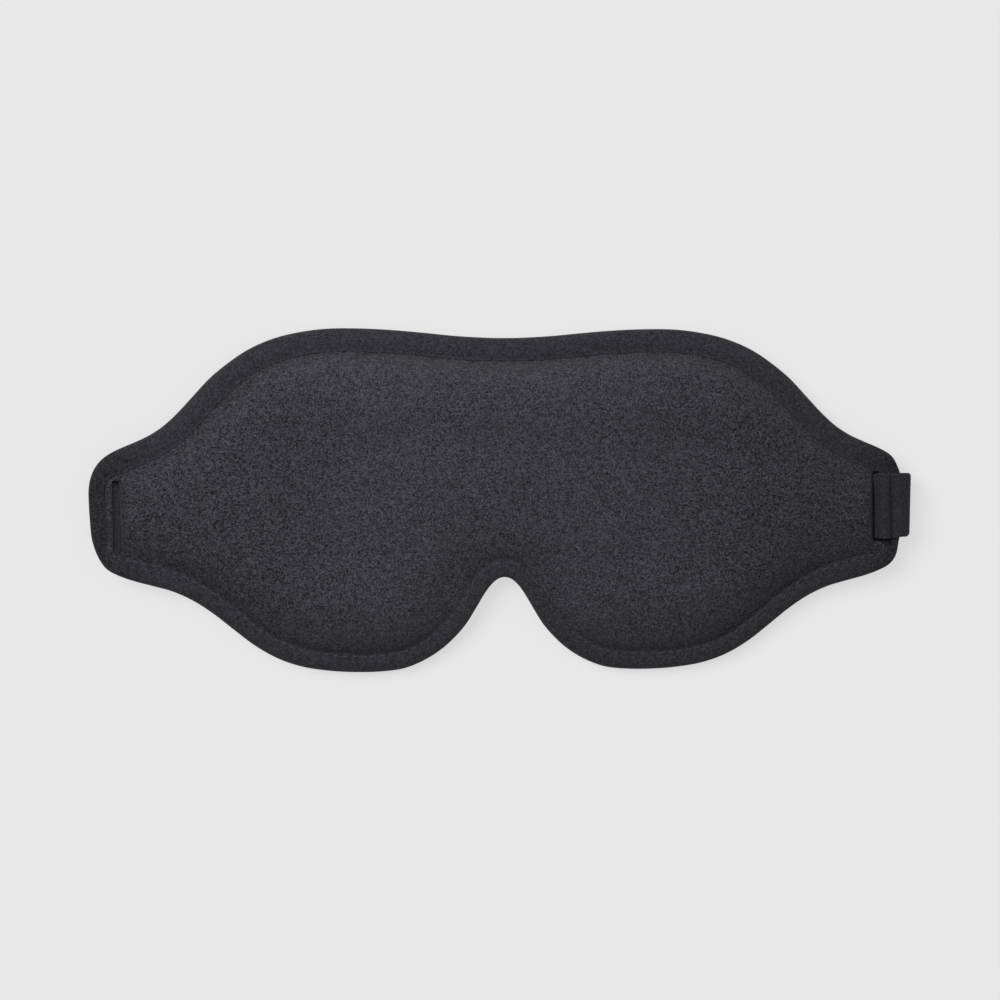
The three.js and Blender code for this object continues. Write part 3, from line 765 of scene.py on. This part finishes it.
# ------------------------------------------------------------------ moulded slider
def rounded_box(x0, x1, y0, y1, z0, z1, r):
    bm = bmesh.new()
    bmesh.ops.create_cube(bm, size=1)
    for v in bm.verts:
        v.co = Vector((x0 + (v.co.x + 0.5) * (x1 - x0), y0 + (v.co.y + 0.5) * (y1 - y0), z0 + (v.co.z + 0.5) * (z1 - z0)))
    bmesh.ops.bevel(bm, geom=list(bm.edges), offset=r, segments=3, profile=0.5, affect="EDGES")
    v = np.array([p.co for p in bm.verts])
    f = [[q.index for q in face.verts] for face in bm.faces]
    bm.free()
    return to_mask(v[:, 0], v[:, 1], v[:, 2]), f


def slider_mesh():
    hl, hw = 7.5, 11.8
    parts = [
        rounded_box(SX - hl, SX + hl, hw - 1.5, hw, 1.45, 5.95, 0.45),
        rounded_box(SX - hl, SX + hl, -hw, -hw + 1.5, 1.45, 5.95, 0.45),
        rounded_box(SX - hl, SX - hl + 1.6, -hw + 0.3, hw - 0.3, 5.15, 5.95, 0.3),
        rounded_box(SX + hl - 1.6, SX + hl, -hw + 0.3, hw - 0.3, 5.15, 5.95, 0.3),
        rounded_box(SX - 1.05, SX + 1.05, -hw + 0.3, hw - 0.3, 1.45, 2.25, 0.3),
    ]
    v, f = merge(parts)
    ob = add_mesh("slider_body_visual", v, f)
    m = ob.modifiers.new("remesh", "REMESH")
    m.mode = "VOXEL"
    m.voxel_size = 0.2 * MM
    m = ob.modifiers.new("smooth", "SMOOTH")
    m.factor = 0.5
    m.iterations = 6
    modifier_apply(ob)
    ob.data.polygons.foreach_set("use_smooth", np.ones(len(ob.data.polygons), bool))
    return ob


slider = slider_mesh()


# ------------------------------------------------------------------ care label and tab stiffeners
def at(field, x, y):
    """height of a field of the shared grid at any point, bilinear in grid space."""
    x, y = np.broadcast_arrays(np.asarray(x, float), np.asarray(y, float))
    ci = np.clip(np.interp(x, gx, np.arange(NC)), 0, NC - 1.001)
    i = ci.astype(int)
    t = ci - i
    lo = gb[i] * (1 - t) + gb[i + 1] * t
    hi = gt[i] * (1 - t) + gt[i + 1] * t
    s = np.interp((y - lo) / (hi - lo), tv, np.arange(NR))
    j = np.clip(s.astype(int), 0, NR - 2)
    w = s - j
    return (field[i, j] * (1 - w) + field[i, j + 1] * w) * (1 - t) + (field[i + 1, j] * (1 - w) + field[i + 1, j + 1] * w) * t


def sheet_on(name, xs, ys, z_top, z_bot):
    """closed sheet on its own small grid."""
    X, Y = np.meshgrid(xs, ys, indexing="ij")
    nc, nr = X.shape
    n = nc * nr
    v = np.vstack([np.column_stack([X.ravel(), Y.ravel(), z_top(X, Y).ravel()]), np.column_stack([X.ravel(), Y.ravel(), z_bot(X, Y).ravel()])])
    top, bottom = grid_faces(nc, nr), grid_faces(nc, nr, flip=True) + n
    w = []
    for i in range(nc - 1):
        a, b = i * nr, (i + 1) * nr
        w += [[a + n, b + n, b, a], [b + nr - 1 + n, a + nr - 1 + n, a + nr - 1, b + nr - 1]]
    for j in range(nr - 1):
        a, c = j, (nc - 1) * nr + j
        w += [[a + 1 + n, a + n, a, a + 1], [c + n, c + 1 + n, c + 1, c]]
    uv = np.column_stack([X.ravel() / 10, Y.ravel() / 10])
    return add_mesh(name, v, np.vstack([top, bottom, np.array(w)]), np.vstack([uv, uv]))


def label_top(X, Y):
    return at(BACK, X, Y) - 0.04


def label_bottom(X, Y):
    curl = 0.10 * np.sin((X + 76) / 22 * np.pi * 1.5) * sm((-3.5 - Y) / 6) - 0.12 * sm((-5.5 - Y) / 4)
    return at(BACK, X, Y) - 0.27 + curl * 0.8


label = sheet_on("care_label_visual", np.linspace(-75.8, -54.2, 40), np.linspace(-9.3, 2.3, 24), lambda X, Y: label_bottom(X, Y) + 0.2, label_bottom)
stitch_rows = []
for k in range(8):
    xa = -74.6 + k * 2.6
    stitch_rows.append(capsule([xa, 1.6, float(at(BACK, xa, 1.6)) - 0.3], [xa + 1.7, 1.6, float(at(BACK, xa + 1.7, 1.6)) - 0.3], [0, 0, -1], 0.13, segs=6))
v, f = merge(stitch_rows)
label_thread = add_mesh("care_label_stitches", v, f)

stiff_l = sheet_on("tab_stiffener_left_visual", np.linspace(-109, -101, 12), np.linspace(strap_y(-105) - 8.4, strap_y(-105) + 8.4, 16), lambda X, Y: np.minimum(at(under, X, Y) - 0.1, at(BACK, X, Y) + 2.2), lambda X, Y: np.minimum(at(under, X, Y) - 0.5, at(BACK, X, Y) + 1.4))
stiff_r = sheet_on("tab_stiffener_right_visual", np.linspace(101, 109, 12), np.linspace(strap_y(105) - 8.4, strap_y(105) + 8.4, 16), lambda X, Y: np.minimum(at(under, X, Y) - 0.1, at(BACK, X, Y) + 2.2), lambda X, Y: np.minimum(at(under, X, Y) - 0.5, at(BACK, X, Y) + 1.4))


# ------------------------------------------------------------------ materials
def srgb(v):
    v = v / 255
    return v / 12.92 if v <= 0.04045 else ((v + 0.055) / 1.055) ** 2.4


def lin(rgb):
    return [srgb(c) for c in rgb] + [1.0]


class Mat:
    def __init__(self, name, rough=0.9, sheen=0.0, spec=0.3):
        self.m = bpy.data.materials.new(name)
        self.m.use_nodes = True
        self.nt = self.m.node_tree
        self.nt.nodes.clear()
        self.out = self.nt.nodes.new("ShaderNodeOutputMaterial")
        self.b = self.nt.nodes.new("ShaderNodeBsdfPrincipled")
        self.nt.links.new(self.b.outputs[0], self.out.inputs[0])
        self.b.inputs["Roughness"].default_value = rough
        self.b.inputs["Sheen Weight"].default_value = sheen
        self.b.inputs["Sheen Roughness"].default_value = 0.5
        self.b.inputs["Specular IOR Level"].default_value = spec

    def node(self, kind, **kw):
        n = self.nt.nodes.new(kind)
        for k, v in kw.items():
            setattr(n, k, v)
        return n

    def link(self, a, b):
        self.nt.links.new(a, b)

    def math(self, op, a, b=None, c=None, clamp=False):
        n = self.node("ShaderNodeMath", operation=op, use_clamp=clamp)
        for i, v in enumerate((a, b, c)):
            if v is None:
                continue
            if isinstance(v, (int, float)):
                n.inputs[i].default_value = v
            else:
                self.link(v, n.inputs[i])
        return n.outputs[0]

    def obj_mm(self, scale=(1000, 1000, 1000)):
        t = self.node("ShaderNodeTexCoord")
        m = self.node("ShaderNodeMapping")
        m.inputs["Scale"].default_value = scale
        self.link(t.outputs["Object"], m.inputs["Vector"])
        return m.outputs[0]

    def uv_mm(self, scale=(10, 10, 10)):
        t = self.node("ShaderNodeUVMap", uv_map="UVMap")
        m = self.node("ShaderNodeMapping")
        m.inputs["Scale"].default_value = scale
        self.link(t.outputs[0], m.inputs["Vector"])
        return m.outputs[0]

    def noise(self, vec, scale, detail=2.0, rough=0.5):
        n = self.node("ShaderNodeTexNoise")
        n.inputs["Scale"].default_value = scale
        n.inputs["Detail"].default_value = detail
        n.inputs["Roughness"].default_value = rough
        self.link(vec, n.inputs["Vector"])
        return n.outputs[0]

    def voronoi(self, vec, scale, out="Color", feature="F1", rand=1.0):
        n = self.node("ShaderNodeTexVoronoi", feature=feature)
        n.inputs["Scale"].default_value = scale
        n.inputs["Randomness"].default_value = rand
        self.link(vec, n.inputs["Vector"])
        return n.outputs[out]

    def wave(self, vec, scale, direction="X", distortion=0.0):
        n = self.node("ShaderNodeTexWave", wave_type="BANDS", bands_direction=direction, wave_profile="SIN")
        n.inputs["Scale"].default_value = scale
        n.inputs["Distortion"].default_value = distortion
        self.link(vec, n.inputs["Vector"])
        return n.outputs["Fac"]

    def red(self, colour):
        n = self.node("ShaderNodeSeparateColor")
        self.link(colour, n.inputs[0])
        return n.outputs[0]

    def bump(self, height, strength, dist_mm):
        n = self.node("ShaderNodeBump")
        n.inputs["Strength"].default_value = strength
        n.inputs["Distance"].default_value = dist_mm * MM
        self.link(height, n.inputs["Height"])
        self.link(n.outputs[0], self.b.inputs["Normal"])

    def tint(self, value, base, low=0.0, high=1.0, lo_k=0.5, hi_k=1.5):
        """base colour (sRGB 0-255) multiplied by a factor that follows value."""
        r = self.node("ShaderNodeMapRange", clamp=True)
        r.inputs["From Min"].default_value = low
        r.inputs["From Max"].default_value = high
        r.inputs["To Min"].default_value = lo_k
        r.inputs["To Max"].default_value = hi_k
        self.link(value, r.inputs[0])
        mul = self.node("ShaderNodeVectorMath", operation="SCALE")
        mul.inputs[0].default_value = lin(base)[:3]
        self.link(r.outputs[0], mul.inputs["Scale"])
        self.link(mul.outputs[0], self.b.inputs["Base Color"])
        return r.outputs[0]


def heather(name, base, grain=1.0, painted_end_shade=0.0, start=104.0, run=16.0):
    """melange jersey: every stitch takes its own shade of grey, over a fine fibre noise; beyond start the colour is
    darkened towards both ends of the mask as painted shade.
    """
    m = Mat(name, rough=0.95, sheen=0.10, spec=0.2)
    p = m.obj_mm()
    cell = m.red(m.voronoi(p, 1.9))
    cell2 = m.red(m.voronoi(p, 3.3))
    fibre = m.noise(p, 3.2, 2.0, 0.7)
    knit = m.math("MULTIPLY_ADD", cell, 0.31, m.math("MULTIPLY_ADD", cell2, 0.61, m.math("MULTIPLY", fibre, 0.38)))
    broad = m.noise(p, 0.05, 2.0, 0.5)
    val = m.math("POWER", m.math("ADD", knit, m.math("MULTIPLY_ADD", broad, 0.06, -0.03)), 1.6)
    t = m.node("ShaderNodeSeparateXYZ")
    m.link(p, t.inputs[0])
    # painted shade: the colour is darkened with distance from the centre line, starting at start and reaching full
    # strength after run millimetres
    end_shade_mask = m.math("MULTIPLY", m.math("SUBTRACT", m.math("ABSOLUTE", t.outputs[0]), start), 1 / run, clamp=True)
    val = m.math("MULTIPLY_ADD", end_shade_mask, -painted_end_shade, val)
    m.tint(val, base, 0.0, 1.5, 1 - grain, 1 + 2.0 * grain)
    h = m.math("ADD", m.math("MULTIPLY", m.voronoi(p, 1.9, "Distance"), -0.3), m.math("MULTIPLY", fibre, 0.9))
    m.bump(h, 0.4, 0.12)
    return m.m


def webbing(name, base, pitch=0.66, fuzz=0.42):
    m = Mat(name, rough=0.85, sheen=0.08, spec=0.3)
    uv = m.uv_mm((10, 10, 10))
    p = m.obj_mm()
    rib = m.wave(uv, 2 * math.pi / pitch / 20, "Y", 2.4)
    weft = m.wave(uv, 2 * math.pi / 0.9 / 20, "X", 1.2)
    fine = m.noise(p, 2.8, 2.0, 0.65)
    cell = m.red(m.voronoi(p, 2.4))
    val = m.math("MULTIPLY_ADD", rib, 0.20, m.math("MULTIPLY_ADD", weft, 0.06, m.math("MULTIPLY_ADD", cell, fuzz, m.math("MULTIPLY", fine, 0.55))))
    m.tint(val, base, 0.15, 1.0, 0.30, 1.70)
    m.bump(m.math("MULTIPLY_ADD", rib, 0.7, m.math("MULTIPLY_ADD", weft, 0.2, m.math("MULTIPLY", fine, 0.5))), 0.5, 0.14)
    return m.m


def simple(name, base, rough, scale, lo, hi, bump=0.3, dist=0.08, spec=0.3, sheen=0.0, metallic=0.0):
    m = Mat(name, rough=rough, spec=spec, sheen=sheen)
    p = m.obj_mm()
    n = m.noise(p, scale, 3.0, 0.6)
    m.tint(n, base, 0.3, 0.7, lo, hi)
    m.bump(n, bump, dist)
    m.b.inputs["Metallic"].default_value = metallic
    return m.m


# the knit and the binding tape are painted darker towards the mask's ends, as painted shade
M_KNIT = heather("heather_knit_mat", (61, 60, 66), painted_end_shade=0.065, start=40.0, run=33.0)
M_TAPE = heather("binding_tape_mat", (53, 52, 58), grain=0.66, painted_end_shade=0.26)
M_LINING = heather("lining_mat", (52, 51, 56), grain=0.45)
M_WEB = webbing("webbing_mat", (46, 45, 51))
M_WEB_LOOP = webbing("webbing_loop_mat", (42, 41, 48), fuzz=0.62)
M_THREAD = simple("thread_mat", (78, 77, 83), 0.75, 3.0, 0.8, 1.2, spec=0.35)
M_THREAD_DARK = simple("thread_dark_mat", (58, 57, 63), 0.8, 3.0, 0.75, 1.25, spec=0.3)
M_FOAM = simple("foam_mat", (70, 70, 72), 0.95, 1.2, 0.7, 1.3, 0.6, 0.3)
M_BLACK = simple("blackout_mat", (22, 22, 24), 0.8, 1.5, 0.85, 1.15)
M_FELT = simple("felt_mat", (58, 57, 60), 0.95, 1.5, 0.75, 1.25, 0.5, 0.2)
M_LABEL = simple("label_mat", (214, 213, 208), 0.7, 2.0, 0.97, 1.03, 0.2, 0.05)
M_PLASTIC = simple("slider_plastic_mat", (26, 26, 28), 0.32, 0.6, 0.95, 1.05, 0.05, 0.03, spec=0.5)


def dress(ob, material, nodes, body=None, bend=None):
    ob.data.materials.clear()
    ob.data.materials.append(material)
    if body:
        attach(ob, body)
    if bend:
        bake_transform(ob)
    if nodes:
        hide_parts(*nodes)


dress(front_panel, M_KNIT, ["front_cover"], "mask")
dress(foam, M_FOAM, ["foam_core"], "mask")
dress(blackout, M_BLACK, ["blackout_sheet"], "mask")
dress(back_lining, M_LINING, ["back_lining"], "mask")
dress(binding, M_TAPE, ["edge_binding"], "mask")
dress(stitch_brow, M_THREAD_DARK, ["binding_thread_brow"], "mask")
dress(stitch_cheek, M_THREAD, ["binding_thread_cheek"], "mask")
dress(stitch_back, M_THREAD, ["binding_thread_back"], "mask")
dress(stiff_l, M_FELT, ["tab_stiffener_left"], "mask")
dress(stiff_r, M_FELT, ["tab_stiffener_right"], "mask")
dress(label, M_LABEL, ["care_label"], "mask")
dress(label_thread, M_THREAD, [], "mask")
dress(left_tab, M_WEB, ["strap_left_anchor"], bend=("mask", "left_root", -115.2, -109.5, Z_L))
dress(tack_anchor, M_THREAD, ["anchor_bartack"], "mask")
dress(right_loop, M_WEB_LOOP, ["strap_right_loop"], "mask")
dress(left_side, M_WEB, ["strap_left_side", "strap_left_turn"], bend=("left_root", "left_tip", -106, -49, Z_L))
dress(left_back, M_WEB, ["strap_left_back"], bend=("left_tip", "left_back", -45.5, -38.5, Z_L))
dress(tack_left_a, M_THREAD, ["lap_bartack_left"], "left_back")
dress(right_exit, M_WEB_LOOP, [], bend=("mask", "right_root", 113.9, 109.0, Z_M))
dress(right_side, M_WEB, ["strap_right_side", "strap_right_turn"], bend=("right_root", "right_tip", 106, 49, Z_M))
dress(right_back, M_WEB, ["strap_right_back"], bend=("right_tip", "right_back", 45.5, 38.5, Z_M))
dress(tack_right_a, M_THREAD, ["lap_bartack_right"], "right_back")
dress(right_under, M_WEB, [], bend=("mask", "right_root", 117.4, 112.2, Z_R))
dress(right_return, M_WEB, ["strap_right_return"], bend=("right_root", "slider", 110, 96, Z_R))
dress(fold, M_WEB, ["slider_strap_fold"], "slider")
dress(tack_slider, M_THREAD, ["slider_bartack"], "slider")
dress(slider, M_PLASTIC, ["slider_frame"], "slider")

# ------------------------------------------------------------------ floor and light
scene = bpy.context.scene
KEY_LIGHT, FILL_LIGHT, WORLD_LIGHT = 1.205, 0.17, 0.20
FLOOR_ALBEDO, FLOOR_SUN, FLOOR_GLOW = 0.45, 1.1, 0.6085
bpy.ops.mesh.primitive_plane_add(size=12, location=(0, 0, -0.0002))
floor = bpy.context.object
floor.name = "floor"
drv = floor.driver_add("location", 2).driver
drv.type = "SCRIPTED"
var = drv.variables.new()
var.name = "drop"
var.type = "TRANSFORMS"
var.targets[0].id = frame["bodies"]["left_back"]
var.targets[0].transform_type = "LOC_Z"
var.targets[0].transform_space = "WORLD_SPACE"
drv.expression = "min(0, drop - %.6f) - 0.0002" % frame["bodies"]["left_back"].matrix_world.translation.z
fm = Mat("floor_mat", rough=1.0, spec=0.0)
fm.b.inputs["Base Color"].default_value = (FLOOR_ALBEDO,) * 3 + (1,)
fm.b.inputs["Emission Color"].default_value = (1, 1, 1, 1)
fm.b.inputs["Emission Strength"].default_value = FLOOR_GLOW
clear = fm.node("ShaderNodeBsdfTransparent")
side = fm.node("ShaderNodeNewGeometry")
pick = fm.node("ShaderNodeMixShader")
fm.link(side.outputs["Backfacing"], pick.inputs[0])
fm.link(fm.b.outputs[0], pick.inputs[1])
fm.link(clear.outputs[0], pick.inputs[2])
fm.link(pick.outputs[0], fm.out.inputs[0])
floor.data.materials.append(fm.m)

world = bpy.data.worlds.new("studio")
scene.world = world
world.use_nodes = True
world.node_tree.nodes["Background"].inputs[0].default_value = (1, 1, 1, 1)
world.node_tree.nodes["Background"].inputs[1].default_value = WORLD_LIGHT


def lamp(name, kind, loc, target, size, power):
    d = bpy.data.lights.new(name, kind)
    if kind == "AREA":
        d.shape = "DISK"
        d.size = size
    else:
        d.angle = size
    d.energy = power
    o = bpy.data.objects.new(name, d)
    scene.collection.objects.link(o)
    o.location = loc
    o.rotation_euler = (Vector(target) - Vector(loc)).to_track_quat("-Z", "Y").to_euler()
    return o


def link_light(light, state):
    """the key lights the object alone, the soft sun the floor alone, so the floor stays even."""
    c = bpy.data.collections.new(light.name + "_receivers")
    c.objects.link(floor)
    c.collection_objects[0].light_linking.link_state = state
    light.light_linking.receiver_collection = c


key = lamp("key", "AREA", (-0.13, 0.20, 0.40), (0, -0.03, 0), 0.24, KEY_LIGHT)
fill = lamp("fill", "AREA", (-0.07, 0.05, 0.31), (-0.01, -0.03, 0), 0.14, FILL_LIGHT)
floor_sun = lamp("floor_sun", "SUN", (-0.9, 0.5, 1.0), (0, 0, 0), math.radians(38), FLOOR_SUN)
link_light(key, "EXCLUDE")
link_light(fill, "EXCLUDE")
link_light(floor_sun, "INCLUDE")

# ------------------------------------------------------------------ camera
TH, PSI, F_PX, DIST = 0.11034, 0.0045935, 2600.0, 0.7761
e1 = Vector((math.cos(TH), 0, math.sin(TH)))
e2 = Vector((0, 1, 0))
right_v = e1 * math.cos(PSI) - e2 * math.sin(PSI)
up_v = e1 * math.sin(PSI) + e2 * math.cos(PSI)
back_v = Vector((-math.sin(TH), 0, math.cos(TH)))
centre = Vector((-1.04 * MM, -Y0 * MM, 2.5 * MM))
cam_data = bpy.data.cameras.new("camera")
cam_data.sensor_width = 36
cam_data.lens = 36 * F_PX / 1000
cam_data.clip_start = 0.05
cam_data.clip_end = 20
cam = bpy.data.objects.new("camera", cam_data)
scene.collection.objects.link(cam)
m = Matrix((right_v, up_v, back_v)).transposed().to_4x4()
m.translation = centre + back_v * DIST
cam.matrix_world = m
scene.camera = cam
scene.view_settings.view_transform = "Standard"

bpy.context.view_layer.update()
